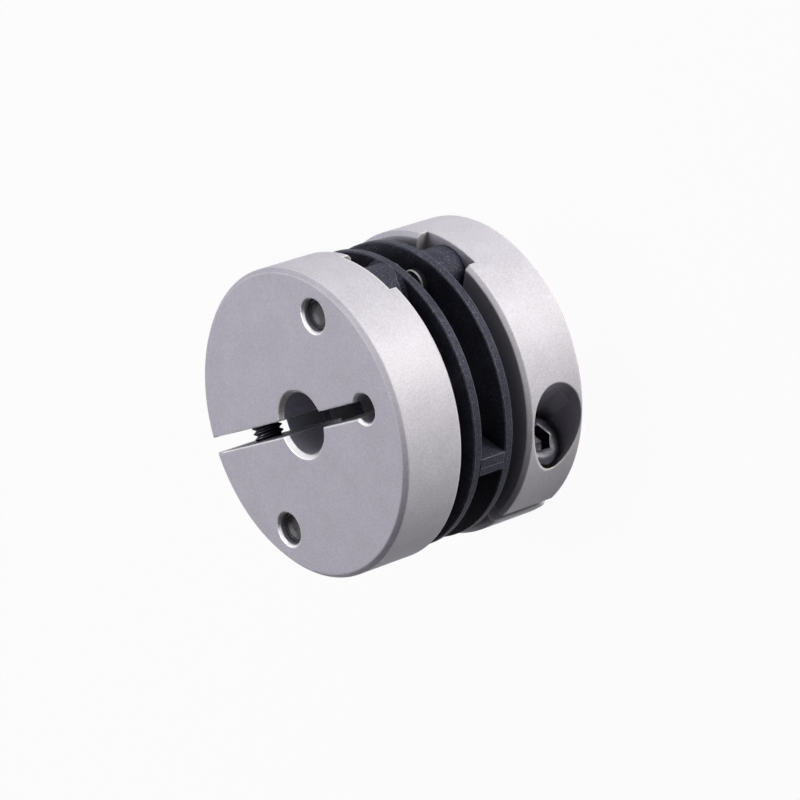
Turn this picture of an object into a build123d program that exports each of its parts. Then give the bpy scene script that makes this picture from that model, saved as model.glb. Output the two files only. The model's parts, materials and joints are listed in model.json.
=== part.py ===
# Flexible disc coupling with two clamp hubs. It joins two shafts end to end.
# Units are millimetres. The coupling stands on the rear hub's outer face, with its axis along +Z.
# The drive pins lie in the YZ plane and the bridges between the two discs in the XZ plane.

import os
from math import cos, radians, sin, tan

from build123d import *

# Clamp hubs, both from the same drawing
outside_diameter = 25.0
hub_length = 5.9
rim_chamfer = 0.35
bore_diameter = 5.0
bore_chamfer = 0.35

# Clamp slot, with the relief hole that lets the hub close on the shaft
slot_width = 1.25
slot_edge_break = 0.1
slot_from_pin = 54.0  # degrees from the nearer drive pin round to the slot's open end
relief_diameter = 2.3
relief_edge_distance = 4.0  # rim to the relief hole's centre
relief_chamfer = 0.2

# Clamp screw, an M2.5 socket head cap screw, and the holes it needs
screw_diameter = 2.5
screw_length = 8.0
screw_tip_chamfer = 0.35
head_diameter = 4.5
head_height = 2.5
head_edge_chamfer = 0.5
socket_across_flats = 2.0
socket_depth = 1.2
counterbore_diameter = 5.0
counterbore_rim_wall = 1.25  # least metal between the counterbore and the rim
screw_seat_height = 3.4  # slot's middle to the seat under the head
screw_clearance = 0.1  # radial, in the plain half of the hub
thread_runout = 0.8  # tapped hole past the screw's tip
tap_point_angle = 59.0  # half angle of the drill point that ends the tapped hole
tap_point_flat = 0.03  # radius of the flat at the drill's very tip

# Flexible discs, moulded in one with their bosses and bridges
disc_inset = 0.35  # rim of the hub down to the rim of the disc
disc_thickness = 0.8
disc_edge_break = 0.1
disc_opening_diameter = 14.0
disc_spacing = 2.4  # clear gap between the two discs
hub_gap = 1.4  # clear gap between a hub and the disc beside it
boss_diameter = 4.8
boss_foot = 0.3  # flare round the foot of a boss, as wide as it is high
bridge_width = 1.5
bridge_depth = 3.2  # inwards from the disc's rim

# Pockets milled into the hub's inner face from the rim, where the bosses sit
pocket_depth = 1.0
pocket_clearance = 0.5  # boss to pocket wall

# Drive pins, pressed through a hub, its boss and its disc
pin_diameter = 2.5
pin_edge_distance = 2.8  # rim of the hub to the pin's centre
pin_recess = 0.6  # outer face of the hub down to the pin's end
pin_stand_out = 0.5  # pin's length past the disc, in the gap between the discs
pin_chamfer = 0.15
pin_dish_rim = 0.25
pin_dish_depth = 0.25
pin_dish_taper = 30.0  # slope of the dish's wall, in degrees
pin_mouth_clearance = 0.05  # radial, in the open mouth of the pin hole
pin_mouth_depth = 1.0
pin_mouth_chamfer = 0.2

# Sizes that follow from those above
rim_radius = outside_diameter / 2
disc_radius = rim_radius - disc_inset
pin_offset = rim_radius - pin_edge_distance
relief_offset = rim_radius - relief_edge_distance
screw_offset = rim_radius - counterbore_diameter / 2 - counterbore_rim_wall
slot_angle = -90 - slot_from_pin
pocket_width = boss_diameter + 2 * pocket_clearance
pocket_centre = rim_radius - pin_edge_distance / 2  # middle of a pocket's straight walls
pin_length = hub_length + hub_gap + disc_thickness + pin_stand_out - pin_recess
coupling_length = 2 * (hub_length + hub_gap + disc_thickness) + disc_spacing
middle = coupling_length / 2
half_gap = disc_spacing / 2
hub_seat = half_gap + disc_thickness + hub_gap  # middle of the coupling to a hub's inner face
boss_end = hub_seat + pocket_depth

# A hub, its screw and its pins are drawn on a plane that looks outwards along the axis.
# The rear half is the front half turned half a turn about the line through the pins.
front_half = Plane(origin=(0, 0, middle), x_dir=(1, 0, 0), z_dir=(0, 0, 1))
rear_half = Plane(origin=(0, 0, middle), x_dir=(-1, 0, 0), z_dir=(0, 0, -1))

slot_direction = Vector(cos(radians(slot_angle)), sin(radians(slot_angle)), 0)
head_direction = slot_direction.rotate(Axis.Z, -90)


def screw_plane(half):
    """Plane across the hub's slot, its Z pointing out of the screw's counterbore."""
    centre = slot_direction * screw_offset + Vector(0, 0, hub_seat + hub_length / 2)
    across = Plane(origin=centre, x_dir=slot_direction, z_dir=head_direction)
    return Plane(half.location * across.location)


def ring_edges(builder, radius):
    """Full circular edges of one radius."""
    circles = builder.edges().filter_by(GeomType.CIRCLE)
    return circles.filter_by(lambda edge: edge.is_closed and abs(edge.radius - radius) < 0.001)


def clamp_hub(half):
    outwards = Axis(half.origin, half.z_dir)
    inner_face = half.offset(hub_seat)
    outer_face = half.offset(hub_seat + hub_length)
    slot_frame = Rotation(0, 0, slot_angle)
    with BuildPart() as hub:
        with BuildSketch(inner_face):
            Circle(rim_radius)
        extrude(amount=hub_length)
        chamfer(ring_edges(hub, rim_radius), rim_chamfer)

        # Bore for the shaft
        with Locations(outer_face):
            Hole(bore_diameter / 2)
        chamfer(ring_edges(hub, bore_diameter / 2), bore_chamfer)

        # Relief hole at the closed end of the slot
        with Locations(outer_face.location * slot_frame * Location((-relief_offset, 0, 0))):
            Hole(relief_diameter / 2)
        relief_mouth = ring_edges(hub, relief_diameter / 2).group_by(outwards)[-1]
        chamfer(relief_mouth, relief_chamfer)

        # Pin holes, with an open mouth above each pin's end
        mouth_radius = pin_diameter / 2 + pin_mouth_clearance
        with Locations(outer_face):
            with Locations((0, pin_offset), (0, -pin_offset)):
                CounterBoreHole(pin_diameter / 2, mouth_radius, pin_mouth_depth)
        mouths = ring_edges(hub, mouth_radius).group_by(outwards)[-1]
        chamfer(mouths, pin_mouth_chamfer)

        # Pockets for the bosses, round at the inner end and open through the rim
        with BuildSketch(inner_face):
            with Locations((0, pocket_centre), (0, -pocket_centre)):
                SlotCenterToCenter(pin_edge_distance, pocket_width, rotation=90)
        extrude(amount=pocket_depth, mode=Mode.SUBTRACT)

        # Clamp slot from the relief hole, across the bore and out through the rim
        slot_run = relief_offset + outside_diameter
        with BuildSketch(inner_face):
            with Locations(slot_frame * Location((-relief_offset, 0, 0))):
                Rectangle(slot_run, slot_width, align=(Align.MIN, Align.CENTER))
        extrude(amount=hub_length, mode=Mode.SUBTRACT)
        with BuildSketch(outer_face):
            with Locations(slot_frame * Location((-relief_offset, 0, 0))):
                edge_to_edge = slot_width + 2 * slot_edge_break
                Rectangle(slot_run, edge_to_edge, align=(Align.MIN, Align.CENTER))
        extrude(amount=-slot_edge_break, taper=45, mode=Mode.SUBTRACT)  # broken edges along the slot

        # Cross screw: counterbore and plain hole down to the slot, tapped hole beyond it
        across = screw_plane(half)
        with Locations(across.offset(rim_radius)):
            CounterBoreHole(
                screw_diameter / 2 + screw_clearance,
                counterbore_diameter / 2,
                rim_radius - screw_seat_height,
                depth=rim_radius,
            )
        tapped_depth = screw_length - screw_seat_height + thread_runout
        with Locations(across):
            Hole(screw_diameter / 2, depth=tapped_depth)
        with BuildSketch(across.offset(-tapped_depth)):
            Circle(screw_diameter / 2)
        point_length = (screw_diameter / 2 - tap_point_flat) / tan(radians(tap_point_angle))
        extrude(amount=-point_length, taper=tap_point_angle, mode=Mode.SUBTRACT)
    return hub.part


def clamp_screw(half):
    seat = screw_plane(half).offset(screw_seat_height)
    outwards = Axis(seat.origin, seat.z_dir)
    with BuildPart() as screw:
        with BuildSketch(seat):
            Circle(head_diameter / 2)
        extrude(amount=head_height)
        chamfer(screw.edges().sort_by(outwards)[-1], head_edge_chamfer)
        with BuildSketch(seat.offset(head_height)):
            RegularPolygon(socket_across_flats / 2, 6, major_radius=False)
        extrude(amount=-socket_depth, mode=Mode.SUBTRACT)
        with BuildSketch(seat):
            Circle(screw_diameter / 2)
        extrude(amount=-screw_length)
        chamfer(screw.edges().sort_by(outwards)[0], screw_tip_chamfer)
    return screw.part


def drive_pin(half, side):
    start = half_gap - pin_stand_out
    foot = half.offset(start).location * Location((0, side * pin_offset, 0))
    outwards = Axis(half.origin, half.z_dir)
    with BuildPart() as pin:
        with BuildSketch(Plane(foot)):
            Circle(pin_diameter / 2)
        extrude(amount=pin_length)
        chamfer(ring_edges(pin, pin_diameter / 2), pin_chamfer)
        # Shallow dish in the end that shows in the hub's outer face
        with BuildSketch(Plane(foot).offset(pin_length)):
            Circle(pin_diameter / 2 - pin_dish_rim)
        extrude(amount=-pin_dish_depth, taper=pin_dish_taper, mode=Mode.SUBTRACT)
    return pin.part


front_hub = clamp_hub(front_half)
front_hub.label = "front_hub"

rear_hub = clamp_hub(rear_half)
rear_hub.label = "rear_hub"

front_clamp_screw = clamp_screw(front_half)
front_clamp_screw.label = "front_clamp_screw"

rear_clamp_screw = clamp_screw(rear_half)
rear_clamp_screw.label = "rear_clamp_screw"

with BuildPart() as twin_disc:
    for half in (front_half, rear_half):
        with BuildSketch(half.offset(half_gap)):
            Circle(disc_radius)
            Circle(disc_opening_diameter / 2, mode=Mode.SUBTRACT)
        extrude(amount=disc_thickness)
    chamfer(ring_edges(twin_disc, disc_radius), disc_edge_break)
    for half in (front_half, rear_half):
        # Bosses, each with a flared foot that ends at the disc's broken edge
        with BuildSketch(half.offset(half_gap)):
            with Locations((0, pin_offset), (0, -pin_offset)):
                Circle(boss_diameter / 2)
            Circle(disc_radius, mode=Mode.INTERSECT)
        extrude(amount=boss_end - half_gap)
        with BuildSketch(half.offset(half_gap + disc_thickness)):
            with Locations((0, pin_offset), (0, -pin_offset)):
                Circle(boss_diameter / 2 + boss_foot)
            Circle(disc_radius - disc_edge_break, mode=Mode.INTERSECT)
        extrude(amount=boss_foot, taper=45)
    # Bridges that hold the discs apart, a quarter turn from the pins
    with BuildSketch(front_half.offset(-half_gap)):
        with Locations((disc_radius, 0), (-disc_radius, 0)):
            Rectangle(2 * bridge_depth, bridge_width)
        Circle(disc_radius, mode=Mode.INTERSECT)
    extrude(amount=disc_spacing)
    # Holes for the pins, through both discs and their bosses
    with BuildSketch(front_half.offset(-boss_end)):
        with Locations((0, pin_offset), (0, -pin_offset)):
            Circle(pin_diameter / 2)
    extrude(amount=2 * boss_end, mode=Mode.SUBTRACT)
twin_disc.part.label = "twin_disc"

pins = {}
for half_name, half in (("front", front_half), ("rear", rear_half)):
    for side_name, side in (("left", 1), ("right", -1)):
        pin = drive_pin(half, side)
        pin.label = f"{half_name}_drive_pin_{side_name}"
        pins[pin.label] = pin

os.makedirs("parts", exist_ok=True)
export_step(front_hub, "parts/front_hub.step")
export_step(rear_hub, "parts/rear_hub.step")
export_step(twin_disc.part, "parts/twin_disc.step")
export_step(front_clamp_screw, "parts/front_clamp_screw.step")
export_step(rear_clamp_screw, "parts/rear_clamp_screw.step")
for name, pin in pins.items():
    export_step(pin, f"parts/{name}.step")
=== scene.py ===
# Disc coupling: two clamp hubs, a moulded twin disc between them, clamp screws and drive pins.
# Sizes in the dictionaries are millimetres and degrees; meshes are built in metres.
import json
from math import cos, pi, radians, sin

import bmesh
import bpy
from mathutils import Matrix, Vector


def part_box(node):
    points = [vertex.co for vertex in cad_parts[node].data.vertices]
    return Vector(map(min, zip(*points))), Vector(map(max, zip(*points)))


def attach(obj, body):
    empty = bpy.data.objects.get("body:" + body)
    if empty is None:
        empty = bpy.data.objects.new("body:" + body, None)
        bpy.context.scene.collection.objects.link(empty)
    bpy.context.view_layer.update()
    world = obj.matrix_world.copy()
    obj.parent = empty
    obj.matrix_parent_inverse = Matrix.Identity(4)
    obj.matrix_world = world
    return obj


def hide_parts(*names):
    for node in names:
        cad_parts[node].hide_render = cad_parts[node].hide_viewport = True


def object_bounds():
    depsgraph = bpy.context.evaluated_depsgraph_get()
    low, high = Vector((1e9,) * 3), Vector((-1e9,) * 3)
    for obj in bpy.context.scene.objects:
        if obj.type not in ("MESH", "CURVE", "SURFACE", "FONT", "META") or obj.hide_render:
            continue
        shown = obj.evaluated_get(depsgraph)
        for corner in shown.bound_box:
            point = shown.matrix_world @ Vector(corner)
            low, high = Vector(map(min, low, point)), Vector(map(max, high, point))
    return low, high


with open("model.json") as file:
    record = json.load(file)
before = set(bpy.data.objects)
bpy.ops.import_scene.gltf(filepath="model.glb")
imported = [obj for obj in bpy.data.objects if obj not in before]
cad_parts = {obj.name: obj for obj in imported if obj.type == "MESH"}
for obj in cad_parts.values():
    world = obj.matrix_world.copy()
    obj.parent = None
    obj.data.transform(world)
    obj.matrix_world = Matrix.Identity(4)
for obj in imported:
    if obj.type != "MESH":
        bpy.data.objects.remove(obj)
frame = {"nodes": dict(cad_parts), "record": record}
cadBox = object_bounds()
cadNodes = frame["nodes"]
mm = 0.001
mergeDistance = 0.0005 * mm  # corners nearer than this are one

lowCorner, highCorner = cadBox
middle = (lowCorner + highCorner) / 2
print("frame loaded:", len(cadNodes), "CAD nodes")

# The rear half is the front half turned half a turn about the line through the pins
rearTurn = Matrix.Translation(middle) @ Matrix.Rotation(pi, 4, "Y") @ Matrix.Translation(-middle)
halves = {"front": Matrix.Identity(4), "rear": rearTurn}


# Mesh helpers

def finishMesh(bm, name, place):
    bmesh.ops.remove_doubles(bm, verts=bm.verts, dist=mergeDistance)
    bmesh.ops.transform(bm, matrix=place, verts=bm.verts)
    bmesh.ops.recalc_face_normals(bm, faces=bm.faces)
    mesh = bpy.data.meshes.new(name)
    bm.to_mesh(mesh)
    bm.free()
    piece = bpy.data.objects.new(name, mesh)
    bpy.context.scene.collection.objects.link(piece)
    return piece


def vertsOf(geometry):
    return [g for g in geometry if isinstance(g, bmesh.types.BMVert)]


def softenShading(piece, degrees):
    bpy.context.view_layer.objects.active = piece
    piece.select_set(True)
    bpy.ops.object.shade_smooth_by_angle(angle=radians(degrees))
    piece.select_set(False)


def turnProfile(bm, points, steps):
    # points are radius and height in mm, turned a full turn about Z
    verts = [bm.verts.new((radius * mm, 0, height * mm)) for radius, height in points]
    edges = [bm.edges.new(pair) for pair in zip(verts, verts[1:])]
    bmesh.ops.spin(bm, geom=verts + edges, cent=(0, 0, 0), axis=(0, 0, 1), angle=2 * pi,
                   steps=steps, use_merge=True, use_duplicate=False)


# Node groups shared by the materials

def newGroup(name, inputs, outputs):
    group = bpy.data.node_groups.new(name, "ShaderNodeTree")
    for label, kind, value in inputs:
        socket = group.interface.new_socket(label, in_out="INPUT", socket_type=kind)
        socket.default_value = value
    for label, kind in outputs:
        group.interface.new_socket(label, in_out="OUTPUT", socket_type=kind)
    start = group.nodes.new("NodeGroupInput")
    end = group.nodes.new("NodeGroupOutput")
    return group, start, end


def mathNode(tree, operation, *values, clamp=False):
    node = tree.nodes.new("ShaderNodeMath")
    node.operation = operation
    node.use_clamp = clamp
    for socket, value in zip(node.inputs, values):
        if hasattr(value, "is_output"):
            tree.links.new(value, socket)
        else:
            socket.default_value = value
    return node.outputs[0]


def mapRange(tree, value, toLow, toHigh, fromLow=0.0, fromHigh=1.0):
    node = tree.nodes.new("ShaderNodeMapRange")
    node.inputs["From Min"].default_value = fromLow
    node.inputs["From Max"].default_value = fromHigh
    node.inputs["To Min"].default_value = toLow
    node.inputs["To Max"].default_value = toHigh
    tree.links.new(value, node.inputs["Value"])
    return node.outputs["Result"]


def mixBetween(tree, factor, base, top, kind="FLOAT"):
    mix = tree.nodes.new("ShaderNodeMix")
    mix.data_type = kind
    tree.links.new(factor, mix.inputs["Factor"])
    for socket, value in ((mix.inputs["A"], base), (mix.inputs["B"], top)):
        if hasattr(value, "is_output"):
            tree.links.new(value, socket)
        else:
            socket.default_value = (*value, 1) if kind == "RGBA" else value
    return mix.outputs["Result"]


def noiseOf(tree, coords, size, detail, roughness=0.5):
    # size is the socket with the grain size in mm
    noise = tree.nodes.new("ShaderNodeTexNoise")
    noise.inputs["Detail"].default_value = detail
    noise.inputs["Roughness"].default_value = roughness
    tree.links.new(coords.outputs["Object"], noise.inputs["Vector"])
    tree.links.new(mathNode(tree, "DIVIDE", 1 / mm, size), noise.inputs["Scale"])
    return noise.outputs["Fac"]


def makeGrainGroup():
    # Fine and coarse mottle in real sizes, for tint, gloss and bump
    group, start, end = newGroup(
        "surfaceGrain",
        [("Fine Size mm", "NodeSocketFloat", 0.12), ("Coarse Size mm", "NodeSocketFloat", 1.5),
         ("Coarse Share", "NodeSocketFloat", 0.3)],
        [("Grain", "NodeSocketFloat"), ("Fine", "NodeSocketFloat")],
    )
    coords = group.nodes.new("ShaderNodeTexCoord")
    fine = noiseOf(group, coords, start.outputs["Fine Size mm"], detail=3.0, roughness=0.55)
    coarse = noiseOf(group, coords, start.outputs["Coarse Size mm"], detail=4.0, roughness=0.55)
    group.links.new(mixBetween(group, start.outputs["Coarse Share"], fine, coarse), end.inputs["Grain"])
    group.links.new(fine, end.inputs["Fine"])
    return group


def makeEdgeGroup():
    # White along sharp edges, where the colour is lightened as wear and as a painted highlight, broken up by
    # a fine noise; also gives the rounded normal
    group, start, end = newGroup(
        "edgeWearAndHighlight",
        [("Width mm", "NodeSocketFloat", 0.06), ("Break Up", "NodeSocketFloat", 0.5),
         ("Gain", "NodeSocketFloat", 24.0), ("Grain Size mm", "NodeSocketFloat", 0.25)],
        [("Mask", "NodeSocketFloat"), ("Normal", "NodeSocketVector")],
    )
    bevel = group.nodes.new("ShaderNodeBevel")
    bevel.samples = 6
    group.links.new(mathNode(group, "MULTIPLY", start.outputs["Width mm"], mm), bevel.inputs["Radius"])
    geometry = group.nodes.new("ShaderNodeNewGeometry")
    dot = group.nodes.new("ShaderNodeVectorMath")
    dot.operation = "DOT_PRODUCT"
    group.links.new(bevel.outputs["Normal"], dot.inputs[0])
    group.links.new(geometry.outputs["Normal"], dot.inputs[1])
    turned = mathNode(group, "SUBTRACT", 1.0, dot.outputs["Value"])
    coords = group.nodes.new("ShaderNodeTexCoord")
    noise = noiseOf(group, coords, start.outputs["Grain Size mm"], detail=2.0)
    gaps = mathNode(group, "MULTIPLY", noise, start.outputs["Break Up"])
    raised = mathNode(group, "MULTIPLY", turned, start.outputs["Gain"])
    group.links.new(mathNode(group, "SUBTRACT", raised, gaps, clamp=True), end.inputs["Mask"])
    group.links.new(bevel.outputs["Normal"], end.inputs["Normal"])
    return group


hiddenShare = (0.45, 0.8)  # how closed in a place is where the painted shade starts and where it is full


def makePaintedShadeGroup():
    # White in hollows, where the colour is darkened as painted shade
    group, start, end = newGroup(
        "paintedHollowShade", [("Reach mm", "NodeSocketFloat", 4.0), ("Share", "NodeSocketFloat", 0.5)],
        [("Mask", "NodeSocketFloat")],
    )
    openness = group.nodes.new("ShaderNodeAmbientOcclusion")
    openness.samples = 8
    reach = mathNode(group, "MULTIPLY", start.outputs["Reach mm"], mm)
    group.links.new(reach, openness.inputs["Distance"])
    hidden = mathNode(group, "SUBTRACT", 1.0, openness.outputs["AO"])
    paintedShade = mapRange(group, hidden, 0.0, 1.0, *hiddenShare)
    group.links.new(mathNode(group, "MULTIPLY", paintedShade, start.outputs["Share"]), end.inputs["Mask"])
    return group


chamferSlope = {"normalHeight": cos(pi / 4), "tolerance": 0.15}  # a 45 degree face, give or take


def makeSlopeGroup():
    # White on faces cut at 45 degrees to the shaft axis and near enough to it, such as the bores' chamfers
    group, start, end = newGroup(
        "turnedSlope",
        [("Within mm", "NodeSocketFloat", 10.0), ("Break Up", "NodeSocketFloat", 0.4),
         ("Grain Size mm", "NodeSocketFloat", 0.3)],
        [("Mask", "NodeSocketFloat")],
    )
    coords = group.nodes.new("ShaderNodeTexCoord")
    split = group.nodes.new("ShaderNodeSeparateXYZ")
    group.links.new(coords.outputs["Normal"], split.inputs["Vector"])
    height = mathNode(group, "ABSOLUTE", split.outputs["Z"])
    sloped = mathNode(group, "COMPARE", height, chamferSlope["normalHeight"], chamferSlope["tolerance"])
    noise = noiseOf(group, coords, start.outputs["Grain Size mm"], detail=3.0)
    gaps = mathNode(group, "MULTIPLY", noise, start.outputs["Break Up"])
    worn = mathNode(group, "SUBTRACT", sloped, gaps, clamp=True)
    flat = group.nodes.new("ShaderNodeVectorMath")
    flat.operation = "MULTIPLY"
    flat.inputs[1].default_value = (1, 1, 0)
    group.links.new(coords.outputs["Object"], flat.inputs[0])
    fromAxis = group.nodes.new("ShaderNodeVectorMath")
    fromAxis.operation = "LENGTH"
    group.links.new(flat.outputs["Vector"], fromAxis.inputs[0])
    limit = mathNode(group, "MULTIPLY", start.outputs["Within mm"], mm)
    within = mathNode(group, "LESS_THAN", fromAxis.outputs["Value"], limit)
    group.links.new(mathNode(group, "MULTIPLY", worn, within), end.inputs["Mask"])
    return group


grainGroup = makeGrainGroup()
edgeGroup = makeEdgeGroup()
slopeGroup = makeSlopeGroup()
paintedShadeGroup = makePaintedShadeGroup()


def groupNode(tree, group, values):
    node = tree.nodes.new("ShaderNodeGroup")
    node.node_tree = group
    for label, value in values.items():
        node.inputs[label].default_value = value
    return node


def colourRamp(tree, factor, stops):
    ramp = tree.nodes.new("ShaderNodeValToRGB")
    ramp.color_ramp.elements[0].position = stops[0][0]
    ramp.color_ramp.elements[0].color = (*stops[0][1], 1)
    ramp.color_ramp.elements[1].position = stops[-1][0]
    ramp.color_ramp.elements[1].color = (*stops[-1][1], 1)
    for position, colour in stops[1:-1]:
        ramp.color_ramp.elements.new(position).color = (*colour, 1)
    tree.links.new(factor, ramp.inputs["Fac"])
    return ramp.outputs["Color"]


mottleStops = (0.35, 0.6, 0.72)  # grain values of the dark, light and fleck colours
glossStops = (0.3, 0.7)  # grain values of the glossiest and the dullest places


def makeFinish(name, look):
    # One finish: mottled colour, uneven gloss, fine bump, edges lightened by wear and a painted highlight,
    # bare chamfers, painted shade in hollows
    material = bpy.data.materials.new(name)
    material.use_nodes = True
    tree = material.node_tree
    shader = tree.nodes["Principled BSDF"]
    shader.inputs["IOR"].default_value = look["ior"]
    shader.inputs["Specular Tint"].default_value = (*look["shineColour"], 1)
    grain = groupNode(tree, grainGroup, {
        "Fine Size mm": look["fineSize"], "Coarse Size mm": look["coarseSize"],
        "Coarse Share": look["coarseShare"],
    })
    edges = groupNode(tree, edgeGroup, {"Width mm": look["edgeWidth"], "Break Up": look["edgeBreakUp"]})
    colours = (look["darkColour"], look["lightColour"], look["fleckColour"])
    mottle = colourRamp(tree, grain.outputs["Grain"], list(zip(mottleStops, colours)))
    # Painted highlight with some wear: sharp edges are lightened towards a pale colour
    edgeWearHighlightShare = mathNode(tree, "MULTIPLY", edges.outputs["Mask"], look["edgeWearHighlightStrength"])
    colour = mixBetween(tree, edgeWearHighlightShare, mottle, look["edgeWearHighlightColour"], "RGBA")
    roughness = mapRange(tree, grain.outputs["Grain"], *look["roughness"], *glossStops)
    shader.inputs["Metallic"].default_value = look["metallic"]
    if "bareChamfer" in look:
        bare = look["bareChamfer"]
        chamfer = groupNode(tree, slopeGroup, {"Within mm": bare["within"], "Break Up": bare["breakUp"]})
        slope = chamfer.outputs["Mask"]
        colour = mixBetween(tree, slope, colour, bare["colour"], "RGBA")
        roughness = mixBetween(tree, slope, roughness, bare["roughness"])
        tree.links.new(mixBetween(tree, slope, look["metallic"], 1.0), shader.inputs["Metallic"])
    # Painted shade: hollows are darkened towards a near-black colour
    paintedShade = groupNode(tree, paintedShadeGroup, {"Reach mm": look["paintedShadeReach"], "Share": look["paintedShadeShare"]})
    colour = mixBetween(tree, paintedShade.outputs["Mask"], colour, look["paintedShadeColour"], "RGBA")
    tree.links.new(colour, shader.inputs["Base Color"])
    tree.links.new(roughness, shader.inputs["Roughness"])
    bump = tree.nodes.new("ShaderNodeBump")
    bump.inputs["Strength"].default_value = look["bumpStrength"]
    bump.inputs["Distance"].default_value = look["bumpHeight"] * mm
    tree.links.new(grain.outputs["Fine"], bump.inputs["Height"])
    tree.links.new(edges.outputs["Normal"], bump.inputs["Normal"])
    tree.links.new(bump.outputs["Normal"], shader.inputs["Normal"])
    return material


# Finishes: sizes, widths, heights and reaches in mm, colours linear. A chamfer is bare within that distance
# of the shaft axis.

# The hollow colour, reach and share are painted shade; the edge colour is partly wear and partly a painted
# highlight.
anodisedAluminium = {
    "metallic": 0.12, "ior": 1.5, "shineColour": (1.0, 1.0, 1.0),
    "fineSize": 0.16, "coarseSize": 2.2, "coarseShare": 0.28,
    "darkColour": (0.505, 0.483, 0.563), "lightColour": (0.625, 0.597, 0.70),
    "fleckColour": (0.68, 0.65, 0.75),
    "edgeWearHighlightColour": (0.92, 0.92, 0.95), "edgeWearHighlightStrength": 0.9, "edgeWidth": 0.24, "edgeBreakUp": 1.3,
    "bareChamfer": {"within": 11.5, "breakUp": 0.35, "colour": (0.90, 0.90, 0.92), "roughness": 0.3},
    "paintedShadeColour": (0.03, 0.03, 0.035), "paintedShadeReach": 7.0, "paintedShadeShare": 0.55,
    "roughness": (0.46, 0.56), "bumpStrength": 0.5, "bumpHeight": 0.02,
}
blackMoulding = {
    "metallic": 0.0, "ior": 1.24, "shineColour": (0.72, 0.76, 1.0),
    "fineSize": 0.14, "coarseSize": 1.4, "coarseShare": 0.25,
    "darkColour": (0.014, 0.0145, 0.023), "lightColour": (0.060, 0.061, 0.093),
    "fleckColour": (0.26, 0.265, 0.33),
    "edgeWearHighlightColour": (0.26, 0.265, 0.32), "edgeWearHighlightStrength": 0.8, "edgeWidth": 0.10, "edgeBreakUp": 1.0,
    "paintedShadeColour": (0.001, 0.001, 0.0015), "paintedShadeReach": 4.0, "paintedShadeShare": 0.9,
    "roughness": (0.42, 0.60), "bumpStrength": 1.0, "bumpHeight": 0.03,
}
blackScrew = {
    "metallic": 1.0, "ior": 1.5, "shineColour": (1.0, 1.0, 1.0),
    "fineSize": 0.15, "coarseSize": 0.9, "coarseShare": 0.4,
    "darkColour": (0.045, 0.045, 0.058), "lightColour": (0.085, 0.085, 0.105),
    "fleckColour": (0.11, 0.11, 0.13),
    "edgeWearHighlightColour": (0.22, 0.22, 0.26), "edgeWearHighlightStrength": 0.7, "edgeWidth": 0.06, "edgeBreakUp": 0.5,
    "paintedShadeColour": (0.01, 0.01, 0.012), "paintedShadeReach": 2.0, "paintedShadeShare": 0.2,
    "roughness": (0.26, 0.36), "bumpStrength": 0.2, "bumpHeight": 0.004,
}
pinSteel = {
    "metallic": 0.45, "ior": 1.45, "shineColour": (1.0, 1.0, 1.0),
    "fineSize": 0.25, "coarseSize": 0.7, "coarseShare": 0.5,
    "darkColour": (0.014, 0.014, 0.016), "lightColour": (0.055, 0.053, 0.057),
    "fleckColour": (0.14, 0.138, 0.145),
    "edgeWearHighlightColour": (0.35, 0.35, 0.37), "edgeWearHighlightStrength": 0.5, "edgeWidth": 0.04, "edgeBreakUp": 0.4,
    "bareChamfer": {"within": 12.5, "breakUp": 0.9, "colour": (0.55, 0.55, 0.57), "roughness": 0.35},
    "paintedShadeColour": (0.01, 0.01, 0.012), "paintedShadeReach": 3.0, "paintedShadeShare": 0.6,
    "roughness": (0.30, 0.48), "bumpStrength": 0.5, "bumpHeight": 0.02,
}
finishes = {
    "anodised_aluminium": makeFinish("anodisedAluminium", anodisedAluminium),
    "black_moulding": makeFinish("blackMoulding", blackMoulding),
    "black_screw": makeFinish("blackScrew", blackScrew),
    "pin_steel": makeFinish("pinSteel", pinSteel),
}
slotOfNode = {part["node"]: part["material_slot"] for part in frame["record"]["subparts"]}
for name, node in cadNodes.items():
    node.data.materials.clear()
    node.data.materials.append(finishes[slotOfNode[name]])
print("finishes made")


def dress(piece, slotName, replaced=()):
    piece.data.materials.append(finishes[slotName])
    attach(piece, "root")
    if replaced:
        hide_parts(*replaced)


# Clamp screws: socket head, knurled side and a rolled thread

clampScrew = {
    "slotAngle": -144, "slotOffset": 8.75, "seatHeight": 3.4,
    "headDiameter": 4.5, "headHeight": 2.5, "headRound": 0.7, "roundSteps": 6, "headChamfer": 0.1,
    "headSides": 72, "knurlDepth": 0.05, "knurlMargin": 0.05,
    "socketAcrossFlats": 2.0, "socketDepth": 1.25, "socketMouth": 0.08, "drillPoint": 0.35,
    "length": 8.0, "crestDiameter": 2.46, "rootDiameter": 1.94, "pitch": 0.45, "crestWidth": 0.06,
    "ridgeSink": 0.04, "ridgeFoot": 0.96,  # depth of the ridge's foot in the core, its share of the pitch
    "tipChamfer": 0.35, "threadSteps": 36, "underHead": 0.25, "smoothAngle": 32,
}


def roundOver(centreRadius, centreHeight, radius, steps):
    # A quarter round from the side up to the top
    angles = [pi / 2 * i / steps for i in range(steps + 1)]
    return [(centreRadius + radius * cos(a), centreHeight + radius * sin(a)) for a in angles]


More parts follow.
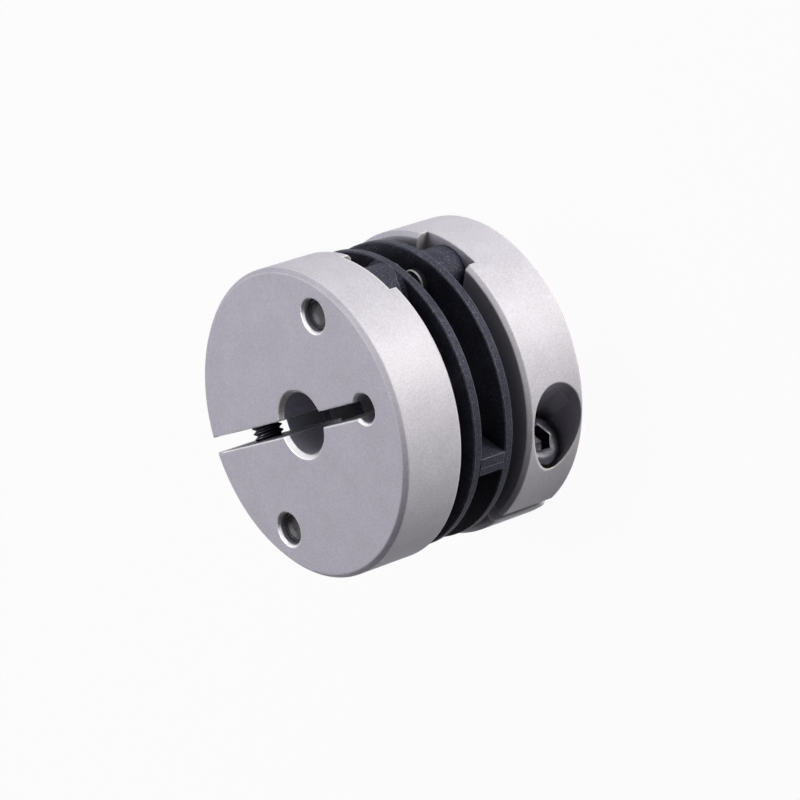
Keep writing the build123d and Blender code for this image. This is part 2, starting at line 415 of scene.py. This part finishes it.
def makeScrewHead(bm, size):
    headRadius = size["headDiameter"] / 2
    chamfer = size["headChamfer"]
    cornerRadius = size["socketAcrossFlats"] / 2 / cos(pi / 6)
    mouthRadius = cornerRadius + size["socketMouth"]
    mouthHeight = (size["headHeight"] - size["socketMouth"] / 2) * mm
    flatHeight = size["headHeight"] - size["headRound"]
    profile = [(size["rootDiameter"] / 2, 0), (headRadius - chamfer, 0), (headRadius, chamfer)]
    profile += [(headRadius, flatHeight - chamfer)]
    profile += roundOver(headRadius - size["headRound"], flatHeight, size["headRound"], size["roundSteps"])
    profile += [(mouthRadius, size["headHeight"])]
    turnProfile(bm, profile, size["headSides"])
    margin = size["knurlMargin"]
    knurled = [v for v in bm.verts if margin * mm < v.co.z < (flatHeight - margin) * mm]
    for vert in knurled:
        step = round(vert.co.xy.angle_signed(Vector((1, 0))) / (2 * pi) * size["headSides"])
        if step % 2:
            vert.co.xy *= 1 - size["knurlDepth"] / headRadius
    # Hexagon socket, joined to the round mouth by a ring of faces
    mouth = [e for e in bm.edges if e.is_boundary and all(v.co.z > flatHeight * mm for v in e.verts)]
    hexagon = bmesh.ops.create_circle(bm, cap_ends=False, segments=6, radius=cornerRadius * mm)["verts"]
    bmesh.ops.translate(bm, verts=hexagon, vec=(0, 0, mouthHeight))
    sides = list({e for v in hexagon for e in v.link_edges})
    bmesh.ops.subdivide_edges(bm, edges=sides, cuts=size["headSides"] // 6 - 1)
    sides = [e for e in bm.edges if not e.link_faces
             and all(abs(v.co.z - mouthHeight) < mergeDistance for v in e.verts)]
    bmesh.ops.bridge_loops(bm, edges=mouth + sides)
    walls = bmesh.ops.extrude_edge_only(bm, edges=sides)["geom"]
    bmesh.ops.translate(bm, verts=vertsOf(walls), vec=(0, 0, -size["socketDepth"] * mm))
    rim = [g for g in walls if isinstance(g, bmesh.types.BMEdge) and g.is_boundary]
    bottom = bmesh.ops.extrude_edge_only(bm, edges=rim)["geom"]
    pointDepth = (size["socketDepth"] + size["drillPoint"]) * mm
    bmesh.ops.pointmerge(bm, verts=vertsOf(bottom), merge_co=(0, 0, mouthHeight - pointDepth))


def makeThread(bm, size):
    # One V-shaped ridge swept along the shank, over a plain core
    rootRadius = size["rootDiameter"] / 2
    crestRadius = size["crestDiameter"] / 2
    footRadius = rootRadius - size["ridgeSink"]
    footHalf = size["pitch"] / 2 * size["ridgeFoot"]
    crestHalf = size["crestWidth"] / 2
    low = -size["length"]
    top = -size["underHead"]
    profile = [(footRadius, -footHalf), (crestRadius, -crestHalf),
               (crestRadius, crestHalf), (footRadius, footHalf)]
    verts = [bm.verts.new((radius * mm, 0, (low + height) * mm)) for radius, height in profile]
    ridge = bm.faces.new(verts)
    turns = round((top - low) / size["pitch"])
    bmesh.ops.spin(bm, geom=[ridge], cent=(0, 0, 0), axis=(0, 0, 1), angle=2 * pi * turns,
                   dvec=(0, 0, size["pitch"] / size["threadSteps"] * mm), steps=turns * size["threadSteps"],
                   use_merge=False, use_duplicate=False)
    # The ridge runs out on the chamfered tip
    tip = low * mm
    tipRadius = rootRadius - size["tipChamfer"] / 2
    for vert in bm.verts:
        vert.co.z = max(vert.co.z, tip)
        reach = tipRadius * mm + (vert.co.z - tip)
        radius = vert.co.xy.length
        if radius > reach:
            vert.co.xy *= reach / radius
    core = [(0, low), (tipRadius, low), (rootRadius, low + size["tipChamfer"]), (rootRadius, 0)]
    turnProfile(bm, core, size["threadSteps"])


def makeClampScrews(size):
    slotAngle = radians(size["slotAngle"])
    slotDirection = Vector((cos(slotAngle), sin(slotAngle), 0))
    headDirection = Vector((slotDirection.y, -slotDirection.x, 0))
    hubLow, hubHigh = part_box("front_hub")
    seat = slotDirection * size["slotOffset"] * mm + headDirection * size["seatHeight"] * mm
    seat.z = (hubLow.z + hubHigh.z) / 2
    across = Matrix((slotDirection, headDirection.cross(slotDirection), headDirection)).transposed().to_4x4()
    for half, turn in halves.items():
        bm = bmesh.new()
        makeThread(bm, size)
        makeScrewHead(bm, size)
        piece = finishMesh(bm, half + "ClampScrew", turn @ Matrix.Translation(seat) @ across)
        softenShading(piece, size["smoothAngle"])
        dress(piece, "black_screw", [half + "_clamp_screw"])


makeClampScrews(clampScrew)
print("clamp screws made")


# Drive pins: a polished lead at the inner end and a shallow dish in the outer one

drivePin = {
    "diameter": 2.5, "lead": 0.1, "outerLead": 0.05, "outerLeadHeight": 0.12, "rimWidth": 0.2,
    "dishDepth": 0.22, "dishRound": 0.3, "dishLip": 0.04, "dishLipDepth": 0.1,
    "dishSlope": 0.03, "dishCentre": 0.04,  # how far the dish still falls halfway in and at its centre
    "sides": 64, "smoothAngle": 35,
}


def makeDrivePins(size):
    radius = size["diameter"] / 2
    rim = radius - size["rimWidth"]
    for half, turn in halves.items():
        for side in ("left", "right"):
            low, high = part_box("front_drive_pin_" + side)
            length = (high.z - low.z) / mm
            bottom = length - size["dishDepth"]
            profile = [(0, 0), (radius - size["lead"], 0), (radius, size["lead"]),
                       (radius, length - size["outerLeadHeight"]), (radius - size["outerLead"], length),
                       (rim, length), (rim - size["dishLip"], length - size["dishLipDepth"]),
                       (rim - size["dishRound"], bottom), (rim / 2, bottom - size["dishSlope"]),
                       (0, bottom - size["dishCentre"])]
            bm = bmesh.new()
            turnProfile(bm, profile, size["sides"])
            foot = Vector(((low.x + high.x) / 2, (low.y + high.y) / 2, low.z))
            piece = finishMesh(bm, half + "DrivePin" + side.capitalize(), turn @ Matrix.Translation(foot))
            softenShading(piece, size["smoothAngle"])
            dress(piece, "pin_steel", [half + "_drive_pin_" + side])


makeDrivePins(drivePin)
print("drive pins made")


# Mould lines on the two bridges

mouldLine = {
    "radius": 0.045, "length": 2.4,  # from disc to disc
    "offset": -0.1, "sink": 0.02, "sides": 12, "smoothAngle": 40,
}


def makeMouldLines(size):
    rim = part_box("twin_disc")[1].x - size["sink"] * mm
    length = size["length"] * mm
    for half, turn in halves.items():
        bm = bmesh.new()
        bmesh.ops.create_circle(bm, cap_ends=True, segments=size["sides"], radius=size["radius"] * mm)
        outline = bmesh.ops.extrude_face_region(bm, geom=bm.faces[:])["geom"]
        bmesh.ops.translate(bm, verts=vertsOf(outline), vec=(0, 0, length))
        place = Matrix.Translation((rim, size["offset"] * mm, middle.z - length / 2))
        piece = finishMesh(bm, half + "MouldLine", turn @ place)
        softenShading(piece, size["smoothAngle"])
        dress(piece, "black_moulding")


makeMouldLines(mouldLine)
print("mould lines made")


# Camera

camera = {
    "azimuth": 38.76, "elevation": 36.82, "roll": 108.45, "distance": 294.2,
    "lens": 167.0, "sensor": 36.0, "clipStart": 10,
    "target": (0.62, -0.31, -0.38),  # counted from the middle of the coupling
}


def aimedAt(settings, target=middle):
    # Placed out from the target by azimuth and elevation, with Z pointing away from it
    azimuth, elevation = radians(settings["azimuth"]), radians(settings["elevation"])
    outwards = Vector((cos(elevation) * cos(azimuth), cos(elevation) * sin(azimuth), sin(elevation)))
    turn = outwards.to_track_quat("Z", "Y").to_matrix().to_4x4()
    return Matrix.Translation(target + outwards * settings["distance"] * mm) @ turn


def makeCamera(settings):
    data = bpy.data.cameras.new("camera")
    data.lens = settings["lens"]
    data.sensor_width = settings["sensor"]
    data.clip_start = settings["clipStart"] * mm
    holder = bpy.data.objects.new("camera", data)
    bpy.context.scene.collection.objects.link(holder)
    roll = Matrix.Rotation(-radians(settings["roll"]), 4, "Z")
    holder.matrix_world = aimedAt(settings, middle + Vector(settings["target"]) * mm) @ roll
    bpy.context.scene.camera = holder


makeCamera(camera)


# Lamps, floor and background. Directions are azimuth from +X and elevation, seen from the coupling.

neutral = (1.0, 1.0, 1.0)
paleYellow = (1.0, 1.0, 0.86)
lampShape = {"distance": 180, "size": 120, "colour": neutral}
lamps = {
    "topLamp": {"azimuth": 80, "elevation": 0, "power": 0.06},
    "highLamp": {"azimuth": 95, "elevation": 25, "power": 0.03},
    "leftLamp": {"azimuth": 188, "elevation": 65, "power": 0.65, "distance": 360, "size": 240},
    "sideLamp": {"azimuth": 58, "elevation": -20, "power": 0.265, "colour": paleYellow},  # below the floor
}


def makeLamp(name, settings):
    data = bpy.data.lights.new(name, "AREA")
    data.shape = "DISK"
    data.size = settings["size"] * mm
    data.energy = settings["power"]
    data.color = settings["colour"]
    data.cycles.use_multiple_importance_sampling = False  # so that no light is lost at the floor
    lamp = bpy.data.objects.new(name, data)
    bpy.context.scene.collection.objects.link(lamp)
    lamp.matrix_world = aimedAt(settings)


for name, settings in lamps.items():
    makeLamp(name, {**lampShape, **settings})

floor = {
    "size": 1200, "drop": 0.02, "colour": (0.8, 0.8, 0.8), "roughness": 0.9,
    "whiteShare": 0.95, "mirroredShare": 0.74,  # how white it shows by itself, seen straight and in a mirror
}


def makeSheet(name, size, place):
    bm = bmesh.new()
    bmesh.ops.create_grid(bm, x_segments=1, y_segments=1, size=size / 2 * mm)
    return finishMesh(bm, name, place)


def makeFloor(settings):
    plane = makeSheet("floor", settings["size"], Matrix.Translation((0, 0, -settings["drop"] * mm)))
    material = bpy.data.materials.new("floorWhite")
    material.use_nodes = True
    tree = material.node_tree
    shader = tree.nodes["Principled BSDF"]
    shader.inputs["Base Color"].default_value = (*settings["colour"], 1)
    shader.inputs["Roughness"].default_value = settings["roughness"]
    shader.inputs["Specular IOR Level"].default_value = 0.0
    glow = tree.nodes.new("ShaderNodeEmission")
    path = tree.nodes.new("ShaderNodeLightPath")
    seen = mathNode(tree, "MULTIPLY", path.outputs["Is Camera Ray"], settings["whiteShare"])
    mirrored = mathNode(tree, "MAXIMUM", path.outputs["Is Glossy Ray"], path.outputs["Is Transmission Ray"])
    mirrored = mathNode(tree, "MULTIPLY", mirrored, settings["mirroredShare"])
    share = mathNode(tree, "MAXIMUM", seen, mirrored)
    mix = tree.nodes.new("ShaderNodeMixShader")
    tree.links.new(share, mix.inputs[0])
    tree.links.new(shader.outputs[0], mix.inputs[1])
    tree.links.new(glow.outputs[0], mix.inputs[2])
    tree.links.new(mix.outputs[0], tree.nodes["Material Output"].inputs["Surface"])
    plane.data.materials.append(material)
    plane.visible_shadow = False  # so that the side lamp shines up through it


background = {"level": 0.01}  # what it lights with; it shows white


def makeBackground(settings):
    world = bpy.data.worlds.new("studio")
    bpy.context.scene.world = world
    world.use_nodes = True
    tree = world.node_tree
    shader = tree.nodes["Background"]
    shader.inputs["Color"].default_value = (1, 1, 1, 1)
    path = tree.nodes.new("ShaderNodeLightPath")
    seen = mathNode(tree, "MAXIMUM", path.outputs["Is Camera Ray"], path.outputs["Is Glossy Ray"])
    seen = mathNode(tree, "MAXIMUM", seen, path.outputs["Is Transmission Ray"])
    tree.links.new(mapRange(tree, seen, settings["level"], 1.0), shader.inputs["Strength"])


# Stands beside the coupling, out of view, so that the metal mirrors something dark there
darkCard = {"azimuth": 300, "elevation": 25, "distance": 100, "size": 230, "colour": (0.02, 0.02, 0.02)}


def makeDarkCard(settings):
    card = makeSheet("darkCard", settings["size"], aimedAt(settings))
    material = bpy.data.materials.new("cardBlack")
    material.use_nodes = True
    shader = material.node_tree.nodes["Principled BSDF"]
    shader.inputs["Base Color"].default_value = (*settings["colour"], 1)
    shader.inputs["Specular IOR Level"].default_value = 0.0
    card.data.materials.append(material)
    card.visible_camera = False
    card.visible_shadow = False


makeFloor(floor)
makeBackground(background)
makeDarkCard(darkCard)
bpy.context.scene.view_settings.view_transform = "Standard"
print("camera, lamps and floor placed")
